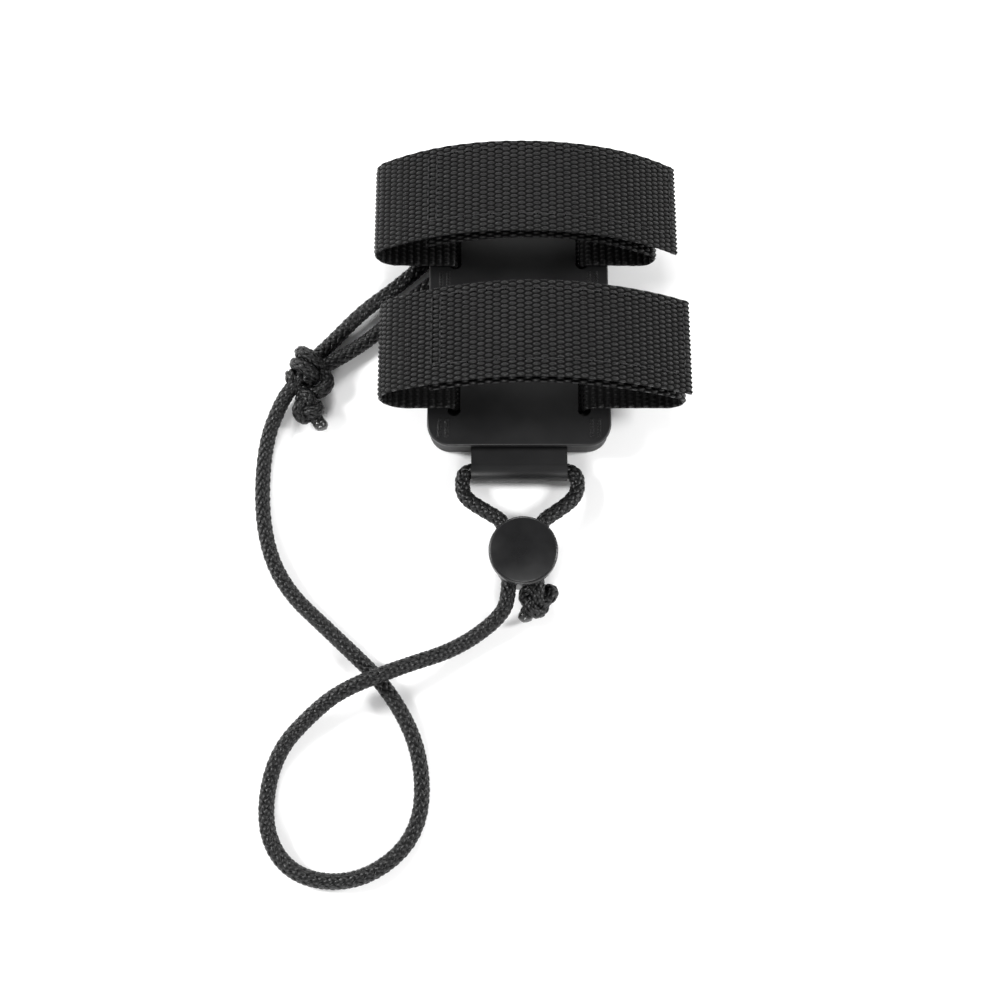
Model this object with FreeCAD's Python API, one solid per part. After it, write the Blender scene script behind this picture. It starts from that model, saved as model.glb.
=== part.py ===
import FreeCAD, Part
import math
import os

# A carrier for a hand-held device: a stiff plate with two hook-and-loop webbing straps that close round a
# pack's shoulder strap, and a corded tether with a cord lock.
# Origin: centre of the plate on the surface it rests on. +Z up, +Y towards the upper strap, +X to the right.

V = FreeCAD.Vector
os.makedirs("parts", exist_ok=True)

# ---- driving dimensions, mm ----
PLATE_W = 48.0            # plate across X
PLATE_L = 86.4            # plate along Y
PLATE_R = 6.0             # plate corner radius
PANEL_T = 1.4             # smooth front panel
BASE_INSET = 0.4          # base plate's edge behind the panel's edge
EDGE_ROUND = 0.5          # rounded top edge of the panel
POCKET_H = 4.2            # height of the tether's pocket, open to the underside
POCKET_ROOF = 0.6         # wall left over the pocket, under the strap channels

WEB_W = 25.4              # webbing width
WEB_T = 1.5               # webbing thickness
CHANNEL_FIT = 0.15        # play of the webbing in its channel, above it
CHANNEL_SIDE = 0.8        # play of the webbing in its channel, each side
CHANNEL_END = 0.6         # channel beyond each slot
SLOT_X = 17.0             # slots' centre line, left and right
SLOT_FIT = 1.7            # room in a slot beside the webbing, which slants through it
SLOT_W = WEB_T + SLOT_FIT # slot width
SLOT_L = 29.0             # slot length, end to end
SLOT_END_R = SLOT_W / 2 + 0.1    # round hole that ends each slot
STRAP_Y = 20.8            # slot pairs' centres, above and below the plate's centre
UPPER_SHIFT = 1.1         # the upper strap lies this far below its slots' centre
S_BEND_R = 2.0            # webbing's bend on its way through a slot
STRAP_LIFT = 0.05         # webbing above the panel, and above the channel's floor

HOOK_T = 1.0              # hook tape
LOOP_T = 1.2              # loop tape
TAPE_W = 20.6             # width of both tapes
TAPE_TOP = 1.3            # tape's edge below the webbing's upper edge
CLOSED_GAP = 0.35         # between the closed hook and loop faces
TAPE_END = 1.2            # tape's end short of the webbing's end
PEEL_GAP = 0.35           # between the strap and its flap at the seam
THREAD = 0.5              # sewing thread lines, width
THREAD_H = 0.2            # how far a thread line stands out
STITCH_IN = 1.0           # stitch line inside the tape's edge

CORD_D = 4.0              # braided cord
CORD_FIT = 0.1            # cord to the hole it passes
TAB_W = 25.0              # tab across X
TAB_T = 0.9               # its wall round the cord, and each layer of its leg
TAB_TAPER = 0.7           # how much thinner the tab is at the plate, above and below
TAB_OUT = 5.2             # cord's centre beyond the plate's lower edge
TAB_IN = 7.0              # tab's leg inside the base plate
TAB_FIT = 0.05            # room over and under the tab's leg, and before the plate's edge
TAB_PLAY = 0.2            # room at the leg's sides and end
POST_R = 1.5              # post that the tether's loop goes round
POST_X, POST_Y = -18.0, 13.4
POCKET_PLAY = 1.1         # beside the loop round the post
POCKET_ANGLE = 41.0       # the pocket's mouth points this far below -X
POCKET_RUN = 30.0         # from the post to past the plate's edge
TACK_X = 19.8             # bartacks' centres, left and right
TACK_PAST = 3.3           # bartacks' centres past the slots' ends
TACK_L, TACK_W, TACK_H = 5.2, 1.1, 0.3
TACK_PITCH = 1.9          # between the two bars of one bartack

BEND_SHARE = 0.45         # how much of a run each arc of the cord's route takes
TIP_R = 1.9               # cord pinched at its melted end
KNOT_ROUND = 0.8          # rounding of a knot's lump, as a share of what fits

LOCK_X, LOCK_Y = 0.8, -72.5
BARREL_R = 7.2
BARREL_WALL = 1.2
BARREL_FLOOR = 1.0
STEM_FIT = 0.06           # running fit of the plunger's stem in the barrel
STRAND_X = 3.3            # each strand's centre from the lock's centre
PRESS = 2.0               # the plunger's travel
SPRING_WIRE = 0.6
SPRING_TURNS = 3
SPRING_R = 3.6            # the spring's widest turn
SPRING_GAP = 0.15         # between the pressed spring's turns
CAP_R = 8.65
CAP_H = 2.6
CAP_ROUND = 0.6           # rounded rim of the cap
CAP_LIFT = 0.3            # cap above the barrel when pressed
STEM_FLOOR = 1.0          # stem's wall under its strand slots
SPRING_FLAT = 0.9         # room that the pressed spring keeps
BARREL_LIP = 1.0          # barrel above its strand holes

STRAPS = {                # name: strap's centre Y, arch centre X, arch radius, left and right bend radius, seam X
    "upper": (STRAP_Y - UPPER_SHIFT, 0.9, 64.0, 5.1, 3.5, -24.0),
    "lower": (-STRAP_Y, 3.5, 67.0, 7.2, 4.2, -22.5),
}
ARCH_Z = -34.75           # height of both arches' centres
FLAP_END = {"upper": 40.5, "lower": 39.8}    # flap's tip from its arch's centre

# ---- levels that follow ----
CHANNEL_Z = POCKET_H + POCKET_ROOF
BASE_TOP = CHANNEL_Z + WEB_T + CHANNEL_FIT
PLATE_TOP = BASE_TOP + PANEL_T
WEB_LOW = CHANNEL_Z + STRAP_LIFT + WEB_T / 2     # webbing's middle in the channel
WEB_HIGH = PLATE_TOP + STRAP_LIFT + WEB_T / 2    # webbing's middle on the panel
CORD_R = CORD_D / 2
TAB_Y = -PLATE_L / 2 - TAB_OUT
TAB_IN_R = CORD_R + CORD_FIT
TAB_OUT_R = TAB_IN_R + TAB_T
LOCK_END = LOCK_Y - BARREL_R                     # where the tail's knot stops


def save(name, shape):
    shape = shape.removeSplitter()
    print(f"{name:24s} solids {len(shape.Solids)} volume {shape.Volume:9.1f} valid {shape.isValid()}")
    shape.exportStep(f"parts/{name}.step")


def box(x0, x1, y0, y1, z0, z1):
    return Part.makeBox(x1 - x0, y1 - y0, z1 - z0, V(x0, y0, z0))


def rod(radius, start, end):
    way = V(*end) - V(*start)
    return Part.makeCylinder(radius, way.Length, V(*start), way)


def slab(width, length, corner, z0, z1):
    block = box(-width / 2, width / 2, -length / 2, length / 2, z0, z1)
    upright = [e for e in block.Edges if abs(e.tangentAt(e.FirstParameter).z) > 0.99]
    return block.makeFillet(corner, upright)


# ---- ribbons: a strip of constant thickness along lines and arcs in the XZ plane ----
def at(centre, radius, angle):
    return (centre[0] + radius * math.cos(angle), centre[1] + radius * math.sin(angle))


def side_edge(piece, offset):
    """One segment's edge, moved to the left of the way it runs by offset, and that edge's two ends."""
    if piece[0] == "line":
        (x0, z0), (x1, z1) = piece[1:]
        run = math.hypot(x1 - x0, z1 - z0)
        nx, nz = -(z1 - z0) / run * offset, (x1 - x0) / run * offset
        ends = [(x0 + nx, z0 + nz), (x1 + nx, z1 + nz)]
        return Part.LineSegment(*[V(x, 0, z) for x, z in ends]).toShape(), ends
    centre, radius, first, last = piece[1:]
    moved = radius - offset if last > first else radius + offset
    places = [at(centre, moved, a) for a in (first, (first + last) / 2, last)]
    return Part.Arc(*[V(x, 0, z) for x, z in places]).toShape(), [places[0], places[2]]


def ribbon(path, low, high, y0, y1):
    """Solid between the offsets low and high of a tangent path, from y0 to y1."""
    near = [side_edge(piece, low) for piece in path]
    far = [side_edge(piece, high) for piece in path]
    caps = []
    for index in (0, -1):
        a, b = near[index][1][index], far[index][1][index]
        caps.append(Part.LineSegment(V(a[0], 0, a[1]), V(b[0], 0, b[1])).toShape())
    edges = Part.sortEdges([e for e, _ in near] + [e for e, _ in far] + caps)[0]
    face = Part.Face(Part.Wire(edges))
    face.translate(V(0, y0, 0))
    return face.extrude(V(0, y1 - y0, 0))


def s_bend(x_mid, rising):
    """Two arcs that take the webbing, running +X, from one level to the other at x_mid."""
    height = WEB_HIGH - WEB_LOW
    turn = math.acos(1 - height / (2 * S_BEND_R))
    half = S_BEND_R * math.sin(turn)
    low, high = WEB_LOW + S_BEND_R, WEB_HIGH - S_BEND_R
    down = -math.pi / 2
    if rising:
        return [("arc", (x_mid - half, low), S_BEND_R, down, down + turn),
                ("arc", (x_mid + half, high), S_BEND_R, -down + turn, -down)]
    return [("arc", (x_mid - half, high), S_BEND_R, -down, -down - turn),
            ("arc", (x_mid + half, low), S_BEND_R, down - turn, down)]


def bend_place(arch_x, arch_r, bend_r, side):
    """Centre of an end bend that touches the webbing on the panel and the arch from inside."""
    rise = WEB_HIGH + bend_r - ARCH_Z
    reach = math.sqrt((arch_r - bend_r) ** 2 - rise ** 2)
    return (arch_x + side * reach, WEB_HIGH + bend_r), math.atan2(rise, side * reach)


def arch_angle(arch_x, radius, x):
    return math.acos((x - arch_x) / radius)


def make_strap(name):
    y_mid, arch_x, arch_r, left_r, right_r, seam_x = STRAPS[name]
    y0, y1 = y_mid - WEB_W / 2, y_mid + WEB_W / 2
    tape1 = y1 - TAPE_TOP
    tape0 = tape1 - TAPE_W
    arch = (arch_x, ARCH_Z)
    half = WEB_T / 2
    lap_r = arch_r - WEB_T - HOOK_T - CLOSED_GAP - LOOP_T

    left, left_turn = bend_place(arch_x, arch_r, left_r, -1)
    right, right_turn = bend_place(arch_x, lap_r, right_r, 1)
    seam = arch_angle(arch_x, arch_r, seam_x)
    falling, rising = s_bend(-SLOT_X, rising=False), s_bend(SLOT_X, rising=True)
    slot_l, low_l, low_r, slot_r = falling[0][1][0], falling[1][1][0], rising[0][1][0], rising[1][1][0]
    path = [
        ("arc", arch, arch_r, seam, left_turn),
        ("arc", left, left_r, left_turn, 1.5 * math.pi),
        ("line", (left[0], WEB_HIGH), (slot_l, WEB_HIGH)),
        *falling,
        ("line", (low_l, WEB_LOW), (low_r, WEB_LOW)),
        *rising,
        ("line", (slot_r, WEB_HIGH), (right[0], WEB_HIGH)),
        ("arc", right, right_r, -math.pi / 2, right_turn),
        ("arc", arch, lap_r, right_turn, arch_angle(arch_x, lap_r, seam_x)),
    ]
    save(f"{name}_strap", ribbon(path, -half, half, y0, y1))

    # the flap: the free end, peeled open about the seam
    gap = PEEL_GAP / arch_r
    tip = arch_angle(arch_x, arch_r, arch_x + FLAP_END[name])
    inset = TAPE_END / arch_r
    flap = [("arc", arch, arch_r, seam - gap, tip)]
    hook = [("arc", arch, arch_r, seam - gap, tip + inset)]
    save(f"{name}_flap", ribbon(flap, -half, half, y0, y1))
    save(f"{name}_hook_tape", ribbon(hook, -half - HOOK_T, -half, tape0, tape1))
    lap_end = arch_angle(arch_x, lap_r, seam_x) - inset
    loop = [("arc", arch, lap_r, right_turn, lap_end)]
    save(f"{name}_loop_tape", ribbon(loop, -half - LOOP_T, -half, tape0, tape1))

    # sewing thread: two lines along the tape, one across each of its ends
    def along(radius, first, last, low, high):
        rows = [tape0 + STITCH_IN, tape1 - STITCH_IN]
        return [ribbon([("arc", arch, radius, first, last)], low, high, y - THREAD / 2, y + THREAD / 2)
                for y in rows]

    def across(radius, angle, low, high):
        width = THREAD / radius / 2
        return ribbon([("arc", arch, radius, angle + width, angle - width)], low, high,
                      tape0 + STITCH_IN, tape1 - STITCH_IN)

    start, stop = seam - gap - inset, tip + 2 * inset
    outside = along(arch_r, start, stop, half, half + THREAD_H)
    outside += [across(arch_r, start, half, half + THREAD_H), across(arch_r, stop, half, half + THREAD_H)]
    save(f"{name}_flap_stitching", outside[0].multiFuse(outside[1:]))
    inside = along(lap_r, right_turn + inset, lap_end - inset, half, half + THREAD_H)
    save(f"{name}_lap_stitching", Part.makeCompound(inside))


# ---- plate ----
def slots(z0, z1):
    cuts = []
    for x in (-SLOT_X, SLOT_X):
        for y in (-STRAP_Y, STRAP_Y):
            end = SLOT_L / 2 - SLOT_END_R
            cuts.append(box(x - SLOT_W / 2, x + SLOT_W / 2, y - end, y + end, z0, z1))
            for way in (-1, 1):
                cuts.append(rod(SLOT_END_R, (x, y + way * end, z0), (x, y + way * end, z1)))
    return cuts


def make_front_panel():
    panel = slab(PLATE_W, PLATE_L, PLATE_R, BASE_TOP, PLATE_TOP)
    rim = [e for e in panel.Edges if all(abs(v.Z - PLATE_TOP) < 0.01 for v in e.Vertexes)]
    panel = panel.makeFillet(EDGE_ROUND, rim)
    save("front_panel", panel.cut(slots(BASE_TOP - 1, PLATE_TOP + 1)))


def make_base_plate():
    base = slab(PLATE_W - 2 * BASE_INSET, PLATE_L - 2 * BASE_INSET, PLATE_R - BASE_INSET, 0, BASE_TOP)
    low = [e for e in base.Edges if all(abs(v.Z) < 0.01 for v in e.Vertexes)]
    base = base.makeFillet(EDGE_ROUND, low)
    reach = SLOT_X + SLOT_W / 2 + CHANNEL_END
    cuts = []
    for name in STRAPS:
        y = STRAPS[name][0]
        side = WEB_W / 2 + CHANNEL_SIDE
        cuts.append(box(-reach, reach, y - side, y + side, CHANNEL_Z, BASE_TOP + 1))
    # the tether's pocket, from the post out through the left edge
    pocket_r = POST_R + CORD_D + POCKET_PLAY
    mouth = box(0, POCKET_RUN, -pocket_r, pocket_r, -1, POCKET_H)
    mouth.rotate(V(0, 0, 0), V(0, 0, 1), 180 + POCKET_ANGLE)
    mouth.translate(V(POST_X, POST_Y, 0))
    pocket = rod(pocket_r, (POST_X, POST_Y, -1), (POST_X, POST_Y, POCKET_H)).fuse(mouth)
    pocket = pocket.cut(rod(POST_R, (POST_X, POST_Y, -2), (POST_X, POST_Y, POCKET_H + 1)))
    cuts.append(pocket)
    # the tab's leg
    edge = -PLATE_L / 2
    side = TAB_W / 2 + TAB_PLAY
    leg = TAB_T + TAB_FIT
    cuts.append(box(-side, side, edge - 1, edge + TAB_IN + TAB_PLAY, TAB_OUT_R - leg, TAB_OUT_R + leg))
    save("base_plate", base.cut(cuts))


def make_cord_tab():
    x0, x1 = -TAB_W / 2, TAB_W / 2
    fold = rod(TAB_OUT_R, (x0, TAB_Y, TAB_OUT_R), (x1, TAB_Y, TAB_OUT_R))
    edge = -PLATE_L / 2 + BASE_INSET - TAB_FIT
    outline = [(TAB_Y, 0), (edge, TAB_TAPER), (edge, 2 * TAB_OUT_R - TAB_TAPER), (TAB_Y, 2 * TAB_OUT_R), (TAB_Y, 0)]
    wedge = Part.Face(Part.makePolygon([V(x0, y, z) for y, z in outline])).extrude(V(TAB_W, 0, 0))
    leg = box(x0, x1, edge - 1, -PLATE_L / 2 + TAB_IN, TAB_OUT_R - TAB_T, TAB_OUT_R + TAB_T)
    hole = rod(TAB_IN_R, (x0 - 1, TAB_Y, TAB_OUT_R), (x1 + 1, TAB_Y, TAB_OUT_R))
    save("cord_tab", fold.fuse([wedge, leg]).cut(hole))


def make_bartacks():
    """Short dense stitches that close the panel on the base just past each slot's ends."""
    bars = []
    for x in (-TACK_X, TACK_X):
        for y in (-STRAP_Y, STRAP_Y):
            for way in (-1, 1):
                place = y + way * (SLOT_L / 2 + TACK_PAST)
                for row in (x - TACK_PITCH / 2, x + TACK_PITCH / 2):
                    bars.append(box(row - TACK_W / 2, row + TACK_W / 2, place - TACK_L / 2, place + TACK_L / 2,
                                    PLATE_TOP, PLATE_TOP + TACK_H))
    save("bartacks", Part.makeCompound(bars))


# ---- tether ----
def cord_tube(name, points):
    """A tube along straight runs joined by tangent arcs, each as large as its two runs allow."""
    points = [V(*p) for p in points]
    edges, start, radii = [], points[0], []
    for before, corner, after in zip(points, points[1:], points[2:]):
        into, out = (corner - before), (after - corner)
        shorter = min(into.Length, out.Length)
        into.normalize()
        out.normalize()
        turn = into.getAngle(out)
        trim = BEND_SHARE * shorter
        first, last = corner - into * trim, corner + out * trim
        bisector = out - into
        bisector.normalize()
        radius = trim / math.tan(turn / 2)
        middle = corner + bisector * (radius / math.cos(turn / 2) - radius)
        edges.append(Part.LineSegment(start, first).toShape())
        edges.append(Part.Arc(first, middle, last).toShape())
        start = last
        radii.append(round(radius, 1))
    edges.append(Part.LineSegment(start, points[-1]).toShape())
    wire = Part.Wire(edges)
    ring = Part.Wire([Part.makeCircle(CORD_R, points[0], points[1] - points[0])])
    tube = wire.makePipeShell([ring], True, False)
    ideal = math.pi * CORD_R ** 2 * wire.Length
    print(f"{name}: length {wire.Length:.1f}, radii {radii}, volume ratio {tube.Volume / ideal:.4f}")
    save(name, tube)


STEM_LOW = BARREL_FLOOR + SPRING_FLAT + PRESS
HOLE_Z = STEM_LOW + STEM_FLOOR + CORD_R + CORD_FIT     # strands' centre in the lock
FLOOR_Z = CORD_R
IN_TAB = 8.4               # cord that stays straight inside the tab, each side of its middle
LEFT_X, RIGHT_X = LOCK_X - STRAND_X, LOCK_X + STRAND_X

LONG_ROUTE = [
    (-IN_TAB, TAB_Y, TAB_OUT_R), (-13.8, TAB_Y, TAB_OUT_R), (-15.9, -51.5, TAB_OUT_R), (-14.4, -56.2, 3.8),
    (-9.4, -59.6, 5.6), (LEFT_X, -62.0, HOLE_Z), (LEFT_X, -82.2, HOLE_Z), (-5.0, -87.8, 3.6),
    (-16.0, -95.4, FLOOR_Z), (-29.3, -100.3, 6.5), (-42.4, -105.3, 6.5), (-50.4, -110.1, 3.0),
    (-61.2, -121.8, FLOOR_Z), (-62.9, -140.2, FLOOR_Z), (-54.4, -151.2, FLOOR_Z), (-38.0, -152.0, FLOOR_Z),
    (-24.4, -140.9, FLOOR_Z), (-24.0, -121.9, FLOOR_Z), (-32.6, -105.4, FLOOR_Z),
    (-46.6, -92.3, FLOOR_Z), (-61.0, -79.1, FLOOR_Z), (-66.8, -63.2, FLOOR_Z),
    (-67.2, -41.6, FLOOR_Z), (-62.6, -28.6, 3.0), (-58.0, -24.6, 4.6),
]
TAIL_ROUTE = [
    (IN_TAB, TAB_Y, TAB_OUT_R), (13.8, TAB_Y, TAB_OUT_R), (15.9, -51.5, TAB_OUT_R), (14.6, -56.2, 3.8),
    (10.4, -59.6, 5.6), (RIGHT_X, -62.0, HOLE_Z), (RIGHT_X, LOCK_END - 1.1, HOLE_Z), (5.0, LOCK_END - 3.9, 5.2),
]
LOOP_ROUTE = [
    (-55.2, -18.6, 4.2), (-51.4, -13.8, FLOOR_Z), (-42.2, -3.4, FLOOR_Z), (-34.6, 2.4, FLOOR_Z),
    (-26.4, 9.9, FLOOR_Z), (-18.9, 17.9, FLOOR_Z), (-14.5, 16.4, FLOOR_Z), (-13.6, 11.9, FLOOR_Z),
    (-24.0, 4.6, FLOOR_Z), (-31.0, -1.8, FLOOR_Z), (-37.6, -9.6, FLOOR_Z), (-47.2, -16.6, FLOOR_Z),
    (-54.4, -21.4, 4.2),
]


KNOTS = {                  # name: radius, and its two ends
    "loop_knot": (4.7, (-57.0, -15.8, 4.8), (-55.4, -27.4, 4.8)),
    "loop_stopper_knot": (4.2, (-56.3, -28.3, 4.3), (-55.0, -34.6, 4.3)),
    "tail_stopper_knot": (3.5, (8.9, LOCK_END - 0.9, 4.0), (0.4, LOCK_END - 5.5, 4.0)),
}
TIPS = {
    "loop_cord_tip": ((-54.6, -33.2, 2.9), (-52.6, -38.0, 2.2)),
    "tail_cord_tip": ((2.6, LOCK_END - 4.9, 3.2), (0.9, LOCK_END - 8.9, 2.3)),
}


def pebble(radius, start, end):
    """A rounded lump of a tied knot's outer size."""
    lump = rod(radius, start, end)
    rims = [e for e in lump.Edges if len(e.Vertexes) == 1]
    return lump.makeFillet(KNOT_ROUND * min(radius, (V(*end) - V(*start)).Length / 2), rims)


def make_tether():
    save("tether_in_tab", rod(CORD_R, (-IN_TAB, TAB_Y, TAB_OUT_R), (IN_TAB, TAB_Y, TAB_OUT_R)))
    cord_tube("tether_long", LONG_ROUTE)
    cord_tube("tether_tail", TAIL_ROUTE)
    cord_tube("tether_loop", LOOP_ROUTE)
    for name, (radius, start, end) in KNOTS.items():
        save(name, pebble(radius, start, end))
    for name, (start, end) in TIPS.items():
        save(name, rod(TIP_R, start, end))


# ---- cord lock ----
def make_cord_lock():
    here = (LOCK_X, LOCK_Y)
    bore_r = BARREL_R - BARREL_WALL
    stem_r = bore_r - STEM_FIT
    hole_low, hole_high = HOLE_Z - CORD_R - CORD_FIT, HOLE_Z + CORD_R + CORD_FIT
    barrel_top = hole_high + BARREL_LIP
    cap_low = barrel_top + PRESS + CAP_LIFT
    cap_top = cap_low + CAP_H

    barrel = rod(BARREL_R, (*here, 0), (*here, barrel_top))
    barrel = barrel.cut(rod(bore_r, (*here, BARREL_FLOOR), (*here, barrel_top + 1)))
    across = 2 * BARREL_R
    holes = [rod(CORD_R + CORD_FIT, (x, LOCK_Y - across, HOLE_Z), (x, LOCK_Y + across, HOLE_Z))
             for x in (LEFT_X, RIGHT_X)]
    save("cord_lock_barrel", barrel.cut(holes))

    stem = rod(stem_r, (*here, STEM_LOW), (*here, cap_low + CAP_H / 2))
    for x in (LEFT_X, RIGHT_X):
        side = CORD_R + CORD_FIT
        stem = stem.cut(box(x - side, x + side, LOCK_Y - across, LOCK_Y + across,
                            hole_low, hole_high + PRESS + CORD_FIT))
    cap = rod(CAP_R, (*here, cap_low), (*here, cap_top))
    rim = [e for e in cap.Edges if len(e.Vertexes) == 1 and abs(e.Vertexes[0].Z - cap_top) < 0.01]
    cap = cap.makeFillet(CAP_ROUND, rim)
    save("cord_lock_plunger", stem.fuse(cap))

    # conical compression spring, drawn as its turns between the barrel's floor and the stem
    turns = []
    height = STEM_LOW - BARREL_FLOOR - SPRING_WIRE
    for turn in range(SPRING_TURNS):
        share = turn / (SPRING_TURNS - 1)
        radius = SPRING_R - share * (SPRING_WIRE + SPRING_GAP) * (SPRING_TURNS - 1)
        level = BARREL_FLOOR + SPRING_WIRE / 2 + share * height
        turns.append(Part.makeTorus(radius, SPRING_WIRE / 2, V(*here, level), V(0, 0, 1)))
    save("cord_lock_spring", Part.makeCompound(turns))


make_front_panel()
make_base_plate()
make_cord_tab()
make_bartacks()
for strap_name in STRAPS:
    make_strap(strap_name)
make_tether()
make_cord_lock()
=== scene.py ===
# %% [markdown]
# # A device carrier with webbing straps and a braided tether
# The object is a flat plate that hangs on a pack's shoulder strap. Two webbing straps close round the pack strap
# with hook and loop tape. A braided cord runs through a folded tab, a cord lock and a tied loop.
# The hard parts come finished from the CAD frame. This lesson makes what CAD leaves plain: woven webbing, braided
# cord, knots, sewing, tapes and every finish. All lengths are in metres, in the frame's own place.

# %% Load the frame
import math
import random

import bpy
import numpy as np
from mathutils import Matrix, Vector


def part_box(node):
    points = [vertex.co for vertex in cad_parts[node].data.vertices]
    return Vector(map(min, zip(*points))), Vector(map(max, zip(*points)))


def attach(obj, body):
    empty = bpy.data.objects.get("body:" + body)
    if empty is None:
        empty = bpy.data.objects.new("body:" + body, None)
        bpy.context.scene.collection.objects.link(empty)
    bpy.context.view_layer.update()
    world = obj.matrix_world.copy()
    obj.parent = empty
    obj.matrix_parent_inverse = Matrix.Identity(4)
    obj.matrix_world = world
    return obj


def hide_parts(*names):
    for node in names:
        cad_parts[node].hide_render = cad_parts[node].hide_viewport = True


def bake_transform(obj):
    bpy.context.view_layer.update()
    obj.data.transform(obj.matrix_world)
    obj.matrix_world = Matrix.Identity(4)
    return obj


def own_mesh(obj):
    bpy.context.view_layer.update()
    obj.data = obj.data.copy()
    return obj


MM = 0.001
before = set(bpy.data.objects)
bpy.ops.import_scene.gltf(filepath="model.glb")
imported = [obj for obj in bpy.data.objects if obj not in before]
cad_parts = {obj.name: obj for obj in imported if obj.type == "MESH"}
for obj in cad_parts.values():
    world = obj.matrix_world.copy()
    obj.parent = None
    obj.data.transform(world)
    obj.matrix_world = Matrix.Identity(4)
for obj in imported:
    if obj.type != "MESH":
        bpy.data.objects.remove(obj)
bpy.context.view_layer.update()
panel_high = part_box("front_panel")[1]


# %% [markdown]
# ## The camera
# The carrier lies on a table and the camera looks almost straight down, tipped 15 degrees towards the near end.
# A short distance with a normal lens gives the strong perspective that makes the tall strap loops lean back.

# %% Camera
CAMERA_TILT = math.radians(15)
CAMERA_AWAY = 336 * MM
CAMERA_AIM = Vector((-5.0 * MM, -55.8 * MM, 0))

camera_data = bpy.data.cameras.new("camera")
camera_data.lens = 46.15
camera_data.sensor_width = 36
camera_data.clip_start = 0.01
camera = bpy.data.objects.new("camera", camera_data)
bpy.context.scene.collection.objects.link(camera)
camera.location = CAMERA_AIM + CAMERA_AWAY * Vector((0, -math.sin(CAMERA_TILT), math.cos(CAMERA_TILT)))
camera.rotation_euler = (CAMERA_TILT, 0, 0)
bpy.context.scene.camera = camera
print("camera, mm:", [round(v / MM) for v in camera.location])


# %% [markdown]
# ## Floor and light
# A plain pale floor under a bright even sky keeps the picture bright, as in a shop catalogue. Black goods
# need large soft lights: their shape is drawn by broad reflections and not by shadows.

# %% Floor, sky and lights
bpy.ops.object.select_all(action="DESELECT")
bpy.ops.mesh.primitive_plane_add(size=6, location=(0, 0, -0.0002))
floor = bpy.context.object
floor.name = "floor"
floor_finish = bpy.data.materials.new("floor_white")
floor_finish.use_nodes = True
floor_shader = floor_finish.node_tree.nodes["Principled BSDF"]
floor_shader.inputs["Base Color"].default_value = (0.95, 0.95, 0.95, 1)
floor_shader.inputs["Roughness"].default_value = 0.9
floor.data.materials.append(floor_finish)

# the sky is bright at the horizon and dark overhead, so that flat black tops stay black and rounded sides shine
world = bpy.data.worlds.new("studio")
bpy.context.scene.world = world
world.use_nodes = True
sky = world.node_tree
up = sky.nodes.new("ShaderNodeSeparateXYZ")
sky.links.new(sky.nodes.new("ShaderNodeTexCoord").outputs["Generated"], up.inputs["Vector"])
fade = sky.nodes.new("ShaderNodeMapRange")
fade.inputs["From Min"].default_value = 0.25
fade.inputs["From Max"].default_value = 0.85
fade.inputs["To Min"].default_value = 1.0
fade.inputs["To Max"].default_value = 0.15
sky.links.new(up.outputs["Z"], fade.inputs["Value"])
sky.links.new(fade.outputs["Result"], sky.nodes["Background"].inputs["Color"])
bpy.context.scene.view_settings.view_transform = "Standard"


def softbox(name, place, aim, size, power):
    """A square area light at place that faces aim."""
    lamp = bpy.data.lights.new(name, "AREA")
    lamp.shape = "SQUARE"
    lamp.size = size
    lamp.energy = power
    holder = bpy.data.objects.new(name, lamp)
    bpy.context.scene.collection.objects.link(holder)
    holder.location = place
    holder.rotation_euler = (Vector(aim) - Vector(place)).to_track_quat("-Z", "Y").to_euler()


softbox("light_left", (-0.7, 0.1, 0.5), (0, -0.05, 0), 0.2, 7.5)
softbox("light_right", (0.7, 0.0, 0.5), (0, -0.05, 0), 0.2, 6)
softbox("light_behind", (0.0, 0.65, 0.6), (0, -0.05, 0), 0.3, 4.5)
softbox("light_near", (-0.1, -0.8, 0.4), (0, -0.05, 0), 0.3, 3.5)


# %% [markdown]
# ## Small helpers
# Each finish starts from one Principled shader. A piece that follows a route or a path is made straight from
# numbers, because braid and weave repeat thousands of times and no operator places them.

# %% Helpers for meshes and pieces
def deselect():
    bpy.ops.object.select_all(action="DESELECT")


def ring_mesh(rings):
    """Points and quads of a tube through an array of rings (ring, point, xyz)."""
    count, around = rings.shape[:2]
    here = np.arange(count * around).reshape(count, around)
    following = np.roll(here, -1, axis=1)
    quads = np.stack([here[:-1], following[:-1], following[1:], here[1:]], axis=-1).reshape(-1, 4)
    return rings.reshape(-1, 3), quads


def close_ends(rings, ends):
    """Adds a ring drawn in to a point of ends at each end, which closes the tube."""
    first = np.broadcast_to(ends[0], rings[0].shape)[None]
    last = np.broadcast_to(ends[1], rings[0].shape)[None]
    return np.concatenate([first, rings, last])


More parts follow.
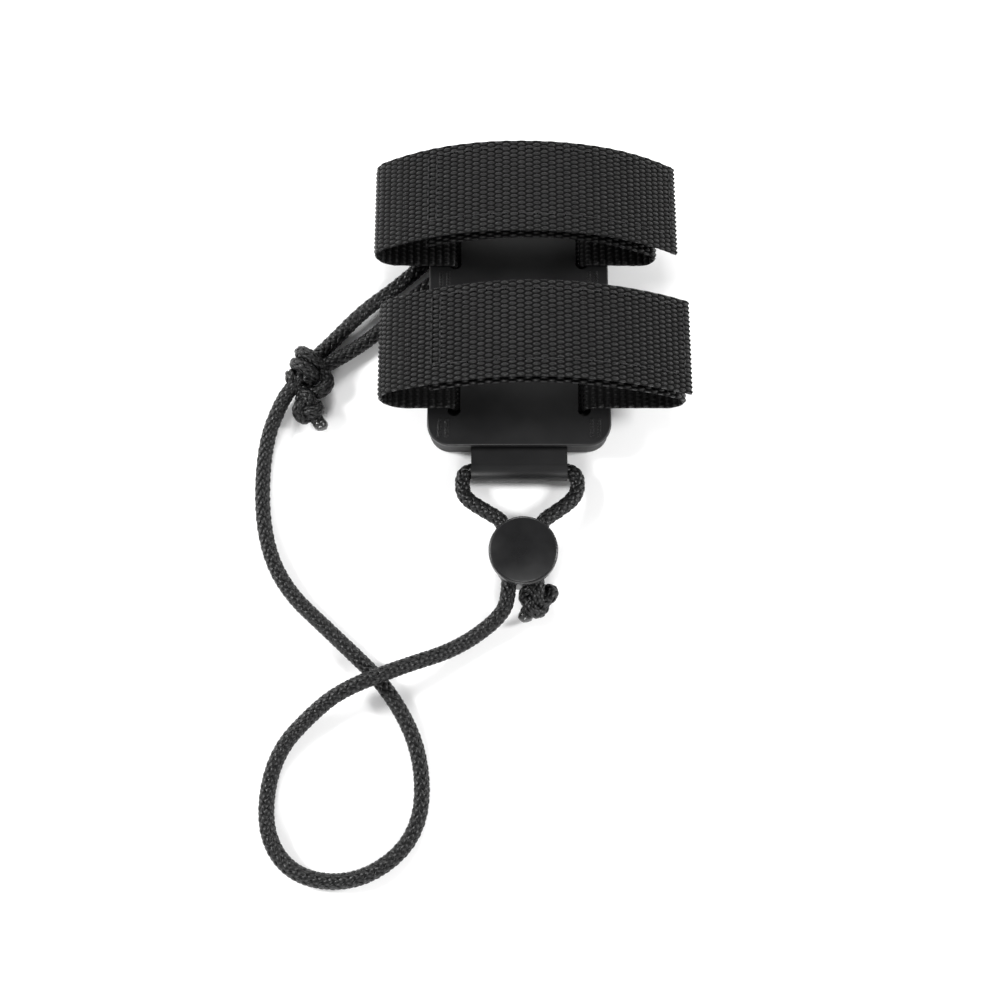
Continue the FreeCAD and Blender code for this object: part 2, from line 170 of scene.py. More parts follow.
def build_mesh(name, parts, uvs=None, relief=None, flat_faces=()):
    """One object from a list of (points, quads); uvs and relief hold a (u, v) and a 0 to 1 height for each point."""
    points, faces, start = [], [], 0
    for part_points, quads in parts:
        points.append(part_points)
        faces.append(quads + start)
        start += len(part_points)
    points = np.concatenate(points)
    faces = np.concatenate(faces)
    mesh = bpy.data.meshes.new(name)
    mesh.vertices.add(len(points))
    mesh.vertices.foreach_set("co", points.astype(np.float32).ravel())
    mesh.loops.add(faces.size)
    mesh.loops.foreach_set("vertex_index", faces.astype(np.int32).ravel())
    mesh.polygons.add(len(faces))
    mesh.polygons.foreach_set("loop_start", np.arange(0, faces.size, 4, dtype=np.int32))
    mesh.update(calc_edges=True)
    smooth = np.ones(len(faces), dtype=bool)
    smooth[list(flat_faces)] = False
    mesh.polygons.foreach_set("use_smooth", smooth)
    relief = np.ones(len(points)) if relief is None else np.concatenate(relief)
    heights = mesh.attributes.new("relief", "FLOAT", "POINT")
    heights.data.foreach_set("value", relief.astype(np.float32))
    if uvs is not None:
        layer = mesh.uv_layers.new(name="along")
        layer.data.foreach_set("uv", np.concatenate(uvs)[faces.ravel()].astype(np.float32).ravel())
    mesh.validate()
    piece = bpy.data.objects.new(name, mesh)
    bpy.context.scene.collection.objects.link(piece)
    return piece


def place_piece(piece, body, material, slot, *nodes):
    """Gives a piece its body and finish, and hides the CAD nodes that it stands for. The slot argument is not used."""
    piece.data.materials.clear()
    piece.data.materials.append(material)
    if body:
        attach(piece, body)
    if nodes:
        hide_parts(*nodes)
    print(f"{piece.name}: {len(piece.data.polygons)} faces")


# %% [markdown]
# ## Finishes
# Everything is black, so the finishes differ in gloss, grain and colour depth and not in hue. Fibres are
# fairly rough, the panel is a satin coated sheet with a faint pebble, and the lock is polished plastic.

# %% Shader helpers
def new_finish(name, color, roughness):
    material = bpy.data.materials.new(name)
    material.use_nodes = True
    shader = material.node_tree.nodes["Principled BSDF"]
    shader.inputs["Base Color"].default_value = (*color, 1)
    shader.inputs["Roughness"].default_value = roughness
    return material, material.node_tree, shader


def add_node(tree, kind, **settings):
    node = tree.nodes.new(kind)
    for key, value in settings.items():
        if key in node.inputs:
            node.inputs[key].default_value = value
        else:
            setattr(node, key, value)
    return node


def object_place(tree):
    return add_node(tree, "ShaderNodeTexCoord").outputs["Object"]


def noise(tree, place, scale, detail=4.0, roughness=0.55):
    node = add_node(tree, "ShaderNodeTexNoise", Scale=scale, Detail=detail, Roughness=roughness)
    tree.links.new(place, node.inputs["Vector"])
    return node.outputs["Fac"]


def ramp_between(tree, value, low, high, first, last):
    """Maps a 0 to 1 value onto a range of numbers."""
    node = add_node(tree, "ShaderNodeMapRange")
    node.inputs["From Min"].default_value = low
    node.inputs["From Max"].default_value = high
    node.inputs["To Min"].default_value = first
    node.inputs["To Max"].default_value = last
    tree.links.new(value, node.inputs["Value"])
    return node.outputs["Result"]


def color_between(tree, value, first, last):
    node = add_node(tree, "ShaderNodeMix", data_type="RGBA")
    node.inputs["A"].default_value = (*first, 1)
    node.inputs["B"].default_value = (*last, 1)
    tree.links.new(value, node.inputs["Factor"])
    return node.outputs["Result"]


def add_bump(tree, shader, heights):
    """Chains bumps, one for each (height, strength, distance)."""
    normal = None
    for height, strength, distance in heights:
        bump = add_node(tree, "ShaderNodeBump", Strength=strength, Distance=distance)
        tree.links.new(height, bump.inputs["Height"])
        if normal is not None:
            tree.links.new(normal, bump.inputs["Normal"])
        normal = bump.outputs["Normal"]
    tree.links.new(normal, shader.inputs["Normal"])


# %% [markdown]
# Yarn is a bundle of fine filaments. On webbing and braid the filaments show as hair-thin lines along each yarn,
# so the pattern follows the piece's own UV map, whose u runs along the yarn in metres.

# %% Yarn finish
# painted shade: the colour that the yarns fade to where they dive down between each other
PAINTED_GAP_SHADE = (0.0006, 0.0006, 0.0006)      # down between the yarns


def yarn_finish(name, dark, light, roughness, across_lines):
    material, tree, shader = new_finish(name, dark, roughness)
    shader.inputs["Specular IOR Level"].default_value = 0.29
    along = add_node(tree, "ShaderNodeUVMap", uv_map="along").outputs["UV"]
    stretch = add_node(tree, "ShaderNodeMapping")
    stretch.inputs["Scale"].default_value = (900, across_lines, 1)
    tree.links.new(along, stretch.inputs["Vector"])
    filaments = noise(tree, stretch.outputs["Vector"], 1.0, 3.0, 0.6)
    place = object_place(tree)
    patches = noise(tree, place, 140, 3.0)
    height = add_node(tree, "ShaderNodeAttribute", attribute_name="relief").outputs["Fac"]
    shade = color_between(tree, patches, dark, light)
    # the relief height mixes the colour from the painted gap shade at the lowest points up to the yarn's own tone
    shown = add_node(tree, "ShaderNodeMix", data_type="RGBA")
    shown.inputs["A"].default_value = (*PAINTED_GAP_SHADE, 1)
    tree.links.new(ramp_between(tree, height, 0.3, 0.9, 0.0, 1.0), shown.inputs["Factor"])
    tree.links.new(shade, shown.inputs["B"])
    tree.links.new(shown.outputs["Result"], shader.inputs["Base Color"])
    worn = ramp_between(tree, filaments, 0.3, 0.7, roughness - 0.08, roughness + 0.12)
    buried = add_node(tree, "ShaderNodeMath", operation="MAXIMUM")
    tree.links.new(worn, buried.inputs[0])
    tree.links.new(ramp_between(tree, height, 0.25, 0.8, 0.97, 0.0), buried.inputs[1])
    tree.links.new(buried.outputs["Value"], shader.inputs["Roughness"])
    add_bump(tree, shader, [(filaments, 0.5, 0.0001), (noise(tree, place, 3500, 2.0), 0.25, 0.00006)])
    return material


webbing_finish = yarn_finish("webbing_yarn", (0.003, 0.003, 0.0031), (0.006, 0.006, 0.0062), 0.33, 9000)
cord_finish = yarn_finish("cord_yarn", (0.003, 0.003, 0.0031), (0.008, 0.008, 0.0083), 0.33, 12)
thread_finish = yarn_finish("sewing_thread", (0.006, 0.006, 0.0062), (0.012, 0.012, 0.0125), 0.36, 12)
print("yarn finishes:", [m.name for m in (webbing_finish, cord_finish, thread_finish)])


# %% [markdown]
# The panel is a coated sheet: satin, with a very fine pebble and slow changes in gloss where hands have rubbed it.
# The base plate is moulded with a coarser spark grain. The lock is smooth and glossy, with faint scuffs.

# %% Hard finishes
def satin_finish(name, color, roughness, pebble_scale, pebble, scuff_scale, coat=0.0):
    material, tree, shader = new_finish(name, color, roughness)
    shader.inputs["Coat Weight"].default_value = coat
    shader.inputs["Specular IOR Level"].default_value = 0.35
    shader.inputs["Coat Roughness"].default_value = 0.25
    place = object_place(tree)
    rubbed = noise(tree, place, scuff_scale, 5.0, 0.6)
    tree.links.new(ramp_between(tree, rubbed, 0.35, 0.7, roughness - 0.07, roughness + 0.09),
                   shader.inputs["Roughness"])
    lighter = tuple(c * 1.5 for c in color)
    tree.links.new(color_between(tree, rubbed, color, lighter), shader.inputs["Base Color"])
    grain = noise(tree, place, pebble_scale, 2.0, 0.5)
    add_bump(tree, shader, [(grain, pebble, 0.00008), (rubbed, 0.1, 0.0002)])
    return material


panel_finish = satin_finish("panel_coating", (0.007, 0.007, 0.0073), 0.44, 3200, 0.16, 60)
base_finish = satin_finish("base_moulding", (0.005, 0.005, 0.0052), 0.55, 2400, 0.5, 90)
lock_finish = satin_finish("lock_plastic", (0.005, 0.005, 0.0053), 0.33, 5200, 0.05, 120, coat=0.15)
tip_finish = satin_finish("melted_tip", (0.012, 0.012, 0.012), 0.2, 1500, 0.4, 500, coat=0.8)


def wire_finish():
    material, tree, shader = new_finish("spring_wire", (0.55, 0.55, 0.57), 0.28)
    shader.inputs["Metallic"].default_value = 1
    drawn = noise(tree, object_place(tree), 2500, 3.0)
    tree.links.new(ramp_between(tree, drawn, 0.3, 0.7, 0.2, 0.38), shader.inputs["Roughness"])
    add_bump(tree, shader, [(drawn, 0.2, 0.00005)])
    return material


def tape_finish(name, fuzz_scale, strength):
    material, tree, shader = new_finish(name, (0.006, 0.006, 0.0065), 0.8)
    shader.inputs["Sheen Weight"].default_value = 0.06
    shader.inputs["Specular IOR Level"].default_value = 0.3
    place = object_place(tree)
    fuzz = noise(tree, place, fuzz_scale, 6.0, 0.7)
    tree.links.new(color_between(tree, fuzz, (0.004, 0.004, 0.0045), (0.011, 0.011, 0.012)),
                   shader.inputs["Base Color"])
    tree.links.new(ramp_between(tree, fuzz, 0.3, 0.7, 0.7, 0.95), shader.inputs["Roughness"])
    add_bump(tree, shader, [(fuzz, strength, 0.0003)])
    return material


spring_finish = wire_finish()
hook_finish = tape_finish("hook_tape_nylon", 1200, 0.4)
pile_finish = tape_finish("loop_tape_pile", 2600, 0.9)
print("materials so far:", len(bpy.data.materials))


# %% [markdown]
# ## The cord's route
# The tether is one 4 mm braided cord. It leaves the tab, passes the lock, lies in an open figure of eight and ends
# in a tied loop. A NURBS curve through listed control points gives a line that bends as a limp cord does,
# with no corners. The braid then follows points read from that curve.

# %% Routes, in millimetres
CORD_R = 2.0 * MM
TAB_Y = -48.4
TAB_Z = 3.0
LEFT_STRAND, RIGHT_STRAND = -2.5, 4.1
LOCK_Z = 7.0

LONG_ROUTE = [
    (-8.4, TAB_Y, TAB_Z), (-13.8, TAB_Y, TAB_Z), (-15.0, -51.5, TAB_Z), (-14.4, -56.2, 3.8),
    (-8.7, -60.3, 5.8), (LEFT_STRAND - 0.5, -64.0, LOCK_Z), (LEFT_STRAND, -82.2, LOCK_Z), (-5.0, -87.8, 3.6),
    (-16.0, -95.4, 2.0), (-29.3, -100.3, 6.5), (-42.4, -105.3, 6.5), (-50.4, -110.1, 3.0),
    (-61.2, -121.8, 2.0), (-62.9, -140.2, 2.0), (-54.4, -151.2, 2.0), (-38.0, -152.0, 2.0),
    (-24.4, -140.9, 2.0), (-24.0, -121.9, 2.0), (-32.6, -105.4, 2.0),
    (-46.6, -92.3, 2.0), (-61.0, -79.1, 2.0), (-66.8, -63.2, 2.0),
    (-67.2, -41.6, 2.0), (-62.6, -28.6, 3.0), (-58.6, -24.6, 4.4), (-56.2, -20.2, 4.8),
]
TAIL_ROUTE = [
    (8.4, TAB_Y, TAB_Z), (13.8, TAB_Y, TAB_Z), (15.5, -51.5, TAB_Z), (14.6, -56.2, 3.8),
    (9.8, -60.3, 5.8), (RIGHT_STRAND + 0.4, -64.0, LOCK_Z), (RIGHT_STRAND, -80.8, LOCK_Z), (5.0, -83.6, 5.2),
]
LOOP_ROUTE = [
    (-57.0, -23.0, 4.6), (-55.2, -18.6, 4.2), (-51.4, -13.8, 2.0), (-42.2, -3.4, 2.0), (-34.6, 2.4, 2.0),
    (-26.4, 9.9, 2.0), (-18.9, 17.9, 2.0), (-14.5, 16.4, 2.0), (-13.6, 11.9, 2.0),
    (-24.0, 4.6, 2.0), (-31.0, -1.8, 2.0), (-37.6, -9.6, 2.0), (-47.2, -16.6, 2.0),
    (-54.4, -21.4, 4.2), (-56.4, -25.0, 4.4),
]
print("route points:", len(LONG_ROUTE), len(TAIL_ROUTE), len(LOOP_ROUTE))


# %% [markdown]
# A curve object can give its own tube, but the braid needs the line itself at even steps. So the curve is turned
# into points once, its object is thrown away, and the points are spaced out again along their length.

# %% Read an even line from a NURBS route
def even_points(points, step):
    """Points at equal steps along a line of points."""
    points = np.asarray(points, dtype=float)
    run = np.concatenate([[0], np.cumsum(np.linalg.norm(np.diff(points, axis=0), axis=1))])
    count = max(int(round(run[-1] / step)), 2)
    places = np.linspace(0, run[-1], count + 1)
    return np.stack([np.interp(places, run, points[:, axis]) for axis in range(points.shape[1])], axis=1), run[-1]


def nurbs_line(name, route, step):
    """Lays a NURBS curve on a route in millimetres and returns even points along it, and its length."""
    curve = bpy.data.curves.new(name, "CURVE")
    curve.dimensions = "3D"
    curve.resolution_u = 24
    spline = curve.splines.new("NURBS")
    spline.points.add(len(route) - 1)
    for point, place in zip(spline.points, route):
        point.co = (*[v * MM for v in place], 1)
    spline.order_u = 3
    spline.use_endpoint_u = True
    holder = bpy.data.objects.new(name, curve)
    bpy.context.scene.collection.objects.link(holder)
    flat = bpy.data.meshes.new_from_object(holder)
    points = np.array([v.co[:] for v in flat.vertices])
    bpy.data.objects.remove(holder)
    return even_points(points, step)


# %% [markdown]
# ## The braid
# A braided sheath has yarns that wind both ways and pass over one and under one. Modelled yarns catch the light as
# real ones do, which a bump cannot. Each yarn is a flattened tube on a helix about the cord's line, and its
# distance from the line rises and falls as it goes over and under. A plain core fills the middle.

# %% Braided cord
YARNS_EACH_WAY = 6
BRAID_LAY = 15.6 * MM          # length in which a yarn goes once round
YARN_WIDE = 0.70 * MM          # half the yarn's width
YARN_THICK = 0.30 * MM         # half its thickness
YARN_RISE = 0.22 * MM          # over and under
YARN_SIDES = 8
print("yarns in the braid:", 2 * YARNS_EACH_WAY)


def line_frames(points):
    """Unit tangent and two normals at each point, carried along without twist."""
    tangent = np.gradient(points, axis=0)
    tangent /= np.linalg.norm(tangent, axis=1, keepdims=True)
    normal = np.zeros_like(points)
    first = np.cross(tangent[0], (0, 0, 1.0))
    normal[0] = first / np.linalg.norm(first)
    for i in range(1, len(points)):
        carried = normal[i - 1] - tangent[i] * np.dot(normal[i - 1], tangent[i])
        normal[i] = carried / np.linalg.norm(carried)
    return tangent, normal, np.cross(tangent, normal)


def braid(name, points, radius=CORD_R):
    scale = radius / CORD_R
    tangent, normal, side = line_frames(points)
    run = np.concatenate([[0], np.cumsum(np.linalg.norm(np.diff(points, axis=0), axis=1))])
    lay = BRAID_LAY * scale
    middle = radius - (YARN_THICK + YARN_RISE * 0.8) * scale
    around = np.linspace(0, 2 * math.pi, YARN_SIDES, endpoint=False)
    lean = math.atan(2 * math.pi * middle / lay)
    parts, uvs, relief = [], [], []
    for way in (1, -1):
        over = way * np.cos(math.pi * 2 * YARNS_EACH_WAY * run / lay)
        for yarn in range(YARNS_EACH_WAY):
            angle = way * 2 * math.pi * run / lay + 2 * math.pi * yarn / YARNS_EACH_WAY
            out = normal * np.cos(angle)[:, None] + side * np.sin(angle)[:, None]
            turn = side * np.cos(angle)[:, None] - normal * np.sin(angle)[:, None]
            width_way = turn * math.cos(lean) - tangent * math.sin(lean) * way
            centre = points + out * (middle + YARN_RISE * scale * over)[:, None]
            rings = (centre[:, None] + width_way[:, None] * (np.cos(around) * YARN_WIDE * scale)[None, :, None]
                     + out[:, None] * (np.sin(around) * YARN_THICK * scale)[None, :, None])
            parts.append(ring_mesh(close_ends(rings, (centre[0], centre[-1]))))
            u = np.concatenate([[run[0]], run, [run[-1]]])[:, None]
            v = yarn * 3 + way + 0.5 * np.cos(around)[None, :]
            uvs.append(np.stack(np.broadcast_arrays(u, v), axis=-1).reshape(-1, 2))
            # painted shade: the relief is low, so the colour is darker, where a yarn dives under and on its inner side
            high = 0.5 + 0.3 * over[:, None] + 0.2 * np.sin(around)[None, :]
            relief.append(np.concatenate([high[:1], high, high[-1:]]).ravel())
    core_r = middle - YARN_RISE * scale
    wide = np.linspace(0, 2 * math.pi, 12, endpoint=False)
    thin = slice(None, None, 3)
    core = (points[thin][:, None] + core_r * (normal[thin][:, None] * np.cos(wide)[None, :, None]
            + side[thin][:, None] * np.sin(wide)[None, :, None]))
    core = close_ends(core, (points[thin][0], points[thin][-1]))
    parts.append(ring_mesh(core))
    # the core's relief is 0, so it is painted all in the gap shade
    uvs.append(np.zeros((core.shape[0] * core.shape[1], 2)))
    relief.append(np.zeros(core.shape[0] * core.shape[1]))
    return build_mesh(name, parts, uvs, relief)


# %% [markdown]
# The tether shows as three stretches: the long one to the loop knot, the tail to its stopper knot, and the closed
# loop. All three use the same braid. A short step keeps each yarn round where the cord bends most.

# %% The three stretches of the tether
BRAID_STEP = 0.42 * MM
long_line, long_length = nurbs_line("tether_long_route", LONG_ROUTE, BRAID_STEP)
tail_line, tail_length = nurbs_line("tether_tail_route", TAIL_ROUTE, BRAID_STEP)
loop_line, loop_length = nurbs_line("tether_loop_route", LOOP_ROUTE, BRAID_STEP)
print("cord lengths, mm:", [round(v / MM, 1) for v in (long_length, tail_length, loop_length)])

tether_long = braid("braid_long", long_line)
tether_tail = braid("braid_tail", tail_line)
tether_loop = braid("braid_loop", loop_line)
place_piece(tether_long, "carrier", cord_finish, "cord", "tether_long")
place_piece(tether_tail, "carrier", cord_finish, "cord", "tether_tail")
place_piece(tether_loop, "carrier", cord_finish, "cord", "tether_loop")


# %% [markdown]
# ## Knots
# A tight knot is the same cord on a very short route. The loop knot wraps twice round the strands that it holds,
# and throws one bight to the side. The stopper knots are overhand knots: a trefoil curve drawn small enough that
# the turns press into each other, as wet-pulled cord does.

# %% Loop knot
def turns_about(start, end, radius, turns, first_angle, count):
    """Control points of a helix about the line from start to end."""
    start, end = np.array(start, dtype=float), np.array(end, dtype=float)
    way = (end - start) / np.linalg.norm(end - start)
    level = np.array([way[1], -way[0], 0])
    up = np.cross(level, way)
    places = []
    for i in range(count):
        share = i / (count - 1)
        angle = first_angle + 2 * math.pi * turns * share
        places.append(start + (end - start) * share + radius * (math.cos(angle) * level + math.sin(angle) * up))
    return places


KNOT_CORD_R = 1.85 * MM
wraps = turns_about((-57.6, -24.0, 4.8), (-55.2, -17.2, 4.8), 3.0, 2.15, math.pi * 0.9, 19)
bight = [(-57.0, -26.4, 3.2), (-53.6, -27.6, 3.4), (-50.9, -25.8, 3.6), (-50.6, -22.9, 3.6), (-53.4, -21.2, 4.2)]
knot_route = list(reversed(bight)) + [(-59.4, -25.8, 3.6)] + [tuple(p) for p in wraps]
knot_line, _ = nurbs_line("loop_knot_route", knot_route, BRAID_STEP)
loop_knot = braid("knot_loop", knot_line, KNOT_CORD_R)
place_piece(loop_knot, "carrier", cord_finish, "cord", "loop_knot")


# %% [markdown]
# A stopper knot keeps a cord end from slipping back. It could be sculpted, but a trefoil curve has the right
# crossings of its own, and turning it changes which lump faces up.

# %% Stopper knots
def overhand(centre, heading, size, turn):
    """Control points, in millimetres, of an overhand knot about centre, its tails along heading in the XY plane."""
    along = np.array([math.cos(heading), math.sin(heading), 0])
    level = np.array([-along[1], along[0], 0])
    places = []
    for i in range(16):
        t = 2 * math.pi * (0.04 + 0.92 * i / 15) + turn
        x = math.sin(t) + 2 * math.sin(2 * t)
        y = math.cos(t) - 2 * math.cos(2 * t)
        z = -math.sin(3 * t)
        places.append(tuple(np.array(centre) + size * (x * level * 0.8 + y * along + z * np.array([0, 0, 1.1]))))
    return places


loop_stop_route = overhand((-55.9, -31.4, 4.0), math.radians(-70), 1.25, 0.3)
loop_stop_line, _ = nurbs_line("loop_stopper_route", loop_stop_route, BRAID_STEP)
loop_stopper = braid("knot_loop_stopper", loop_stop_line, 1.75 * MM)
place_piece(loop_stopper, "carrier", cord_finish, "cord", "loop_stopper_knot")

tail_stop_route = overhand((4.6, -82.8, 4.0), math.radians(-152), 1.4, 2.2)
tail_stop_line, _ = nurbs_line("tail_stopper_route", tail_stop_route, BRAID_STEP)
tail_stopper = braid("knot_tail_stopper", tail_stop_line, 1.75 * MM)
place_piece(tail_stopper, "carrier", cord_finish, "cord", "tail_stopper_knot")


# %% [markdown]
# The ends of the cord are cut and melted. The braid still shows, pinched towards a small glossy bead.

# %% Melted cord ends
def cord_end(name, start, end, node):
    line, _ = even_points(np.array([start, end]) * MM, BRAID_STEP)
    piece = braid(name, line, 1.8 * MM)
    deselect()
    bpy.ops.mesh.primitive_uv_sphere_add(segments=20, ring_count=12, radius=1.95 * MM,
                                         location=[v * MM for v in end])
    bead = bpy.context.object
    bead.name = name + "_bead"
    bpy.ops.object.mode_set(mode="EDIT")
    bpy.ops.mesh.select_all(action="SELECT")
    bpy.ops.transform.resize(value=(1.0, 0.84, 0.9), center_override=[v * MM for v in end])
    bpy.ops.transform.vertex_random(offset=0.22 * MM, seed=7)
    bpy.ops.object.mode_set(mode="OBJECT")
    bpy.ops.object.shade_smooth()
    bpy.ops.object.transform_apply(location=True, rotation=True, scale=True)
    place_piece(piece, "carrier", cord_finish, "cord", node)
    place_piece(bead, "carrier", tip_finish, "cord_tip")
    return piece, bead


loop_end, loop_bead = cord_end("end_loop", (-54.9, -32.4, 3.2), (-52.4, -35.9, 2.5), "loop_cord_tip")
tail_end, tail_bead = cord_end("end_tail", (2.8, -83.8, 3.4), (1.5, -87.0, 2.6), "tail_cord_tip")

# %% [markdown]
# The names of the tether's three braided stretches are printed.

print("cords declared:", [cord.name for cord in (tether_long, tether_tail, tether_loop)])


# %% [markdown]
# ## Straps
# Each strap is one length of 25 mm webbing. It passes behind the middle of the panel through two slots, bends up at
# each side and laps over itself in a low arch. The path is worked out from lines and arcs that touch, the same as
# a strip of card that is bent round.

# %% Strap sizes, in millimetres
WEB_W = 25.4
WEB_T = 1.5
HOOK_T, LOOP_T, CLOSED_GAP, PEEL_GAP = 1.0, 1.2, 0.35, 0.35
TAPE_W, TAPE_TOP, TAPE_END, STITCH_IN = 20.6, 1.3, 1.2, 1.0
SLOT_X, S_BEND_R = 17.0, 2.0
ARCH_Z = -34.75
PANEL_TOP = panel_high.z / MM
WEB_HIGH = PANEL_TOP + 0.05 + WEB_T / 2
WEB_LOW = 4.8 + 0.05 + WEB_T / 2
STRAPS = {   # centre Y, arch centre X, arch radius, left and right bend radius, seam X, flap's tip from the centre
    "upper": (19.7, 0.9, 64.0, 5.1, 3.5, -24.0, 40.5),
    "lower": (-20.8, 3.5, 67.0, 7.2, 4.2, -22.5, 39.8),
}
print("straps:", list(STRAPS))


# %% [markdown]
# The strap's side view is a chain of lines and arcs. One helper draws an arc, one takes the webbing through a slot,
# and one turns it round at the side. Curves that touch keep the webbing free of kinks.

# %% Path helpers
def arc(centre, radius, first, last):
    count = max(int(abs(last - first) * radius / 0.2), 6)
    angles = np.linspace(first, last, count)
    return np.stack([centre[0] + radius * np.cos(angles), centre[1] + radius * np.sin(angles)], axis=1)


def through_slot(x_mid, rising):
    height = WEB_HIGH - WEB_LOW
    turn = math.acos(1 - height / (2 * S_BEND_R))
    half = S_BEND_R * math.sin(turn)
    low, high, down = WEB_LOW + S_BEND_R, WEB_HIGH - S_BEND_R, -math.pi / 2
    if rising:
        return [arc((x_mid - half, low), S_BEND_R, down, down + turn),
                arc((x_mid + half, high), S_BEND_R, -down + turn, -down)]
    return [arc((x_mid - half, high), S_BEND_R, -down, -down - turn),
            arc((x_mid + half, low), S_BEND_R, down - turn, down)]


def end_bend(arch_x, arch_r, bend_r, side):
    rise = WEB_HIGH + bend_r - ARCH_Z
    reach = math.sqrt((arch_r - bend_r) ** 2 - rise ** 2)
    return (arch_x + side * reach, WEB_HIGH + bend_r), math.atan2(rise, side * reach)


def strap_lines(name):
    """The strap's line from its join with the flap to its lap end, the flap's line, and the lap's radius."""
    _, arch_x, arch_r, left_r, right_r, seam_x, tip_x = STRAPS[name]
    lap_r = arch_r - WEB_T - HOOK_T - CLOSED_GAP - LOOP_T
    left, left_turn = end_bend(arch_x, arch_r, left_r, -1)
    right, right_turn = end_bend(arch_x, lap_r, right_r, 1)
    centre = (arch_x, ARCH_Z)
    seam = math.acos((seam_x - arch_x) / arch_r)
    join = min(seam + 6.0 / arch_r, left_turn - 0.02)
    strap = [arc(centre, arch_r, join, left_turn), arc(left, left_r, left_turn, 1.5 * math.pi),
             *through_slot(-SLOT_X, False), *through_slot(SLOT_X, True),
             arc(right, right_r, -math.pi / 2, right_turn),
             arc(centre, lap_r, right_turn, math.acos((seam_x - arch_x) / lap_r))]
    flap = [arc(centre, arch_r, join, math.acos(tip_x / arch_r))]
    return np.concatenate(strap), np.concatenate(flap), lap_r, seam, right_turn


# %% [markdown]
# ## Webbing weave
# Narrow webbing is a plain weave with fat warp yarns. Each warp yarn shows as a row of oval beads, and neighbouring
# yarns are out of step by half a bead, which draws the columns of beads across the strap. The surface is a fine
# grid lifted by the nearest beads on both faces, closed by rounded selvages.

# %% Woven strip
BEAD_COLUMN = 1.95       # from one column of beads to the next, along the strap
BEAD_ROW = WEB_W / 20    # from one bead to the next in a column
BEAD_LONG, BEAD_WIDE = 0.98, 0.53
BEAD_DEEP = 0.6
RIB_DEEP = 0.7            # the inner face shows ribs across the strap
RIB_HALF = 0.41           # half a rib, as a share of a column
print("weave, mm from bead to bead:", BEAD_COLUMN, round(BEAD_ROW, 2))


def bead_height(s, y):
    """0 to 1 height of the bead that covers (s, y), the highest of the beads near by."""
    best = np.zeros(np.broadcast(s, y).shape)
    column = np.floor(s / BEAD_COLUMN)
    for shift in (-1, 0, 1, 2):
        here = column + shift
        offset = 0.5 * np.mod(here, 2)
        row = np.round(y / BEAD_ROW - offset) + offset
        far = ((s - here * BEAD_COLUMN) / BEAD_LONG) ** 2 + ((y - row * BEAD_ROW) / BEAD_WIDE) ** 2
        best = np.maximum(best, np.sqrt(np.clip(1 - far, 0, 1)))
    return best


def woven(name, line_xz, y_mid, step, across, inner_side):
    """A woven strip along a line in the XZ plane; inner_side is the side, 1 or -1, that shows ribs."""
    line, length = even_points(line_xz, step)
    run = np.linspace(0, length, len(line))
    way = np.gradient(line, axis=0)
    way /= np.linalg.norm(way, axis=1, keepdims=True)
    left = np.stack([-way[:, 1], way[:, 0]], axis=1)
    y = np.linspace(-WEB_W / 2, WEB_W / 2, across)
    s = run[:, None]
    beads = bead_height(s, y[None, :])
    nearest = np.abs(s / BEAD_COLUMN - np.round(s / BEAD_COLUMN)) * BEAD_COLUMN
    ribs = np.sqrt(np.clip(1 - (nearest / (RIB_HALF * BEAD_COLUMN)) ** 2, 0, 1)) * (0.55 + 0.45 * beads)
    from_edge = np.clip(np.abs(y) - (WEB_W / 2 - 0.7), 0, 0.7)
    selvage = np.sqrt(np.clip(1 - (from_edge / 0.72) ** 2, 0.05, 1))[None, :]
    wander = 0.12 * np.sin(s / 9.0 + y_mid)
    faces, heights = [], []
    for side_way, rows in ((1, slice(None)), (-1, slice(None, None, -1))):
        height, deep = (ribs, RIB_DEEP) if side_way == inner_side else (beads, BEAD_DEEP)
        offset = side_way * ((WEB_T / 2 - deep * (1 - height)) * selvage)[:, rows]
        x = line[:, 0][:, None] + left[:, 0][:, None] * offset
        z = line[:, 1][:, None] + left[:, 1][:, None] * offset
        across_y = np.broadcast_to(y[rows][None, :], x.shape) + y_mid + wander
        faces.append(np.stack([x, across_y, z], axis=-1))
        heights.append(height[:, rows])
    rings = np.concatenate(faces, axis=1) * MM
    # the bead and rib heights become the relief, which paints shade into the gaps between beads and ribs
    relief = np.concatenate(heights, axis=1)
    ends = []
    for end in (0, -1):
        middle = (rings[end][:across] + rings[end][across:][::-1]) / 2
        ends.append(np.concatenate([middle, middle[::-1]]))
    rings = np.concatenate([ends[:1], rings, ends[1:]])
    relief = np.concatenate([relief[:1], relief, relief[-1:]])
    u = np.concatenate([run[:1], run, run[-1:]])[:, None] * MM
    v = np.concatenate([y, y[::-1]])[None, :] * MM
    uv = np.stack(np.broadcast_arrays(u, v), axis=-1).reshape(-1, 2)
    caps = [*range(2 * across), *range((len(rings) - 2) * 2 * across, (len(rings) - 1) * 2 * across)]
    return build_mesh(name, [ring_mesh(rings)], [uv], [relief.ravel()], caps), length


# %% [markdown]
# The fixed strap is coarse where it is hidden, and its free end has a finer grid because it is seen most. The free
# end bends at the seam, between the carrier and its own body, so it doesn't ride on either.

# %% Weave both straps
straps = {}
for strap_name in STRAPS:
    y_mid, arch_x, arch_r, _, _, seam_x, _ = STRAPS[strap_name]
    strap_line, flap_line, lap_r, seam_angle, right_turn = strap_lines(strap_name)
    body_piece, strap_length = woven(f"webbing_{strap_name}_strap", strap_line, y_mid, 0.45, 100, 1)
    flap_piece, flap_length = woven(f"webbing_{strap_name}_flap", flap_line, y_mid, 0.27, 150, -1)
    place_piece(body_piece, "carrier", webbing_finish, "webbing", f"{strap_name}_strap")
    place_piece(flap_piece, None, webbing_finish, "webbing", f"{strap_name}_flap")
    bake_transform(flap_piece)
    straps[strap_name] = (lap_r, seam_angle, right_turn)
    print(f"{strap_name}: strap {strap_length:.0f} mm, flap {flap_length:.0f} mm")


